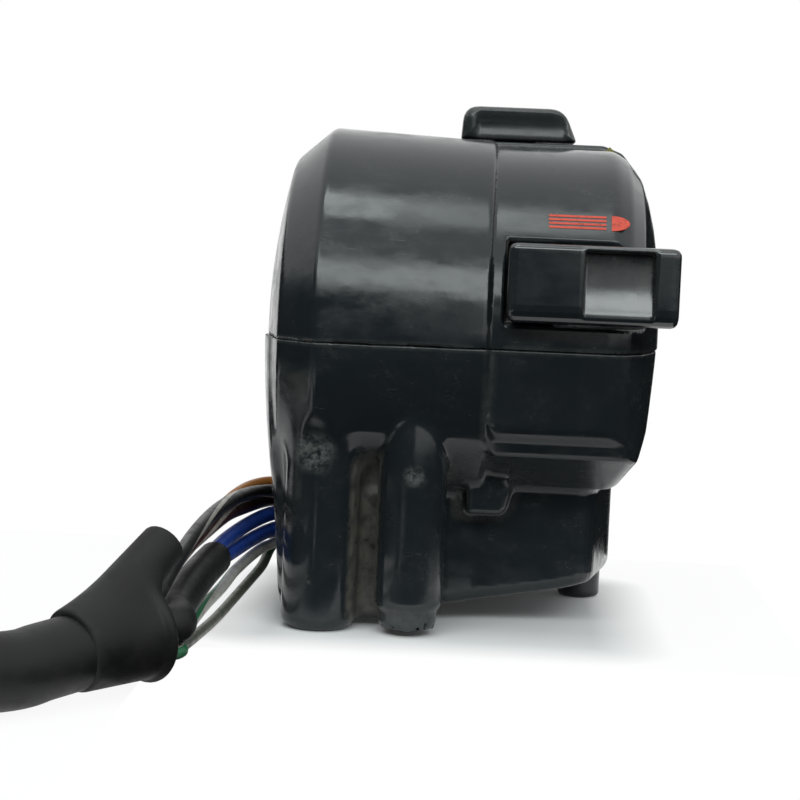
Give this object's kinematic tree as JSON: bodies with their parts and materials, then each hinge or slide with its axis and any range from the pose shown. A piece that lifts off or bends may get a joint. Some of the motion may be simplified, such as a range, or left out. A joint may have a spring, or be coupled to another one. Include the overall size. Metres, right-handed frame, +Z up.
{
  "type": "handlebar switch cluster",
  "caption": "Left-hand motorcycle handlebar switch cluster: split case that clamps the bar, with flash trigger, dimmer and turn-signal sliders, horn button and wiring harness.",
  "frame": {"origin": "On the handlebar's axis, in the parting plane of the case, near the middle of the case's length.", "axes": "+X along the bar towards the grip, -Y forwards, away from the rider, +Z up."},
  "size_m": [0.1822, 0.1317, 0.0696],
  "materials": {
    "case_plastic": "semi-gloss moulded, scuffed",
    "trigger_plastic": "glossy moulded",
    "knob_plastic": "satin moulded",
    "zinc_steel": "zinc plated",
    "bright_steel": "ground",
    "spring_steel": "drawn wire",
    "contact_brass": "stamped",
    "phenolic_board": "pressed laminate",
    "carrier_nylon": "natural nylon",
    "terminal_plastic": "moulded",
    "grommet_rubber": "moulded",
    "wire_black_vinyl": "vinyl with a pale stripe",
    "wire_brown_vinyl": "vinyl with a pale stripe",
    "wire_orange_vinyl": "vinyl",
    "wire_blue_vinyl": "vinyl",
    "wire_white_vinyl": "vinyl with a green stripe",
    "wire_grey_vinyl": "vinyl",
    "sheath_vinyl": "soft vinyl tube",
    "boot_rubber": "matt rubber",
    "tie_nylon": "black nylon",
    "connector_nylon": "natural nylon"
  },
  "bodies": {
    "case": {"upper_case": "case_plastic", "lower_case": "case_plastic", "case_screws": "zinc_steel", "screw_washers": "zinc_steel", "base_screws": "zinc_steel", "flash_pivot_pin": "bright_steel", "flash_spring": "spring_steel", "horn_spring": "spring_steel", "threaded_inserts": "contact_brass", "flash_contacts": "contact_brass", "dimmer_contacts": "contact_brass", "turn_contacts": "contact_brass", "horn_contacts": "contact_brass", "connector_pins": "contact_brass", "flash_base": "phenolic_board", "dimmer_board": "phenolic_board", "turn_board": "phenolic_board", "horn_base": "phenolic_board", "terminal_block": "terminal_plastic", "outlet_grommet": "grommet_rubber", "wire_black": "wire_black_vinyl", "wire_brown": "wire_brown_vinyl", "wire_orange": "wire_orange_vinyl", "wire_blue_upper": "wire_blue_vinyl", "wire_blue_lower": "wire_blue_vinyl", "wire_green": "wire_white_vinyl", "wire_grey": "wire_grey_vinyl", "wire_sleeve": "sheath_vinyl", "harness_sheath": "sheath_vinyl", "harness_coil": "sheath_vinyl", "harness_boot": "boot_rubber", "coil_tie": "tie_nylon", "connector_housing": "connector_nylon"},
    "trigger": {"flash_trigger": "trigger_plastic"},
    "dimmer": {"dimmer_knob": "knob_plastic", "dimmer_carrier": "carrier_nylon", "dimmer_bridge": "contact_brass", "dimmer_ball": "bright_steel", "dimmer_ball_spring": "spring_steel"},
    "turn_slide": {"turn_carrier": "carrier_nylon", "turn_bridge": "contact_brass", "turn_ball": "bright_steel", "turn_ball_spring": "spring_steel", "turn_push_spring": "spring_steel"},
    "turn_button": {"turn_knob": "knob_plastic"},
    "horn": {"horn_button": "knob_plastic", "horn_bridge": "contact_brass", "horn_clip": "bright_steel"}
  },
  "joints": [
    {"name": "flash_press", "type": "hinge", "parent": "case", "child": "trigger", "pos_m": [0.009, -0.0175, 0.0085], "axis": [0, 0, 1], "range_deg": [0, 6], "stiffness_Nm_per_rad": 0.15, "springref_deg": -4.58, "deforming": ["flash_spring"]},
    {"name": "dimmer_slide", "type": "slide", "parent": "case", "child": "dimmer", "axis": [1, 0, 0], "range_m": [0, 0.005]},
    {"name": "turn_signal_slide", "type": "slide", "parent": "case", "child": "turn_slide", "axis": [1, 0, 0], "range_m": [-0.004, 0.004]},
    {"name": "turn_cancel_push", "type": "slide", "parent": "turn_slide", "child": "turn_button", "axis": [0, -1, 0], "range_m": [0, 0.002], "stiffness_N_per_m": 300, "springref_m": -0.002, "deforming": ["turn_push_spring"]},
    {"name": "horn_push", "type": "slide", "parent": "case", "child": "horn", "axis": [0, -1, 0], "range_m": [0, 0.0025], "stiffness_N_per_m": 800, "springref_m": -0.002, "deforming": ["horn_spring"]}
  ]
}
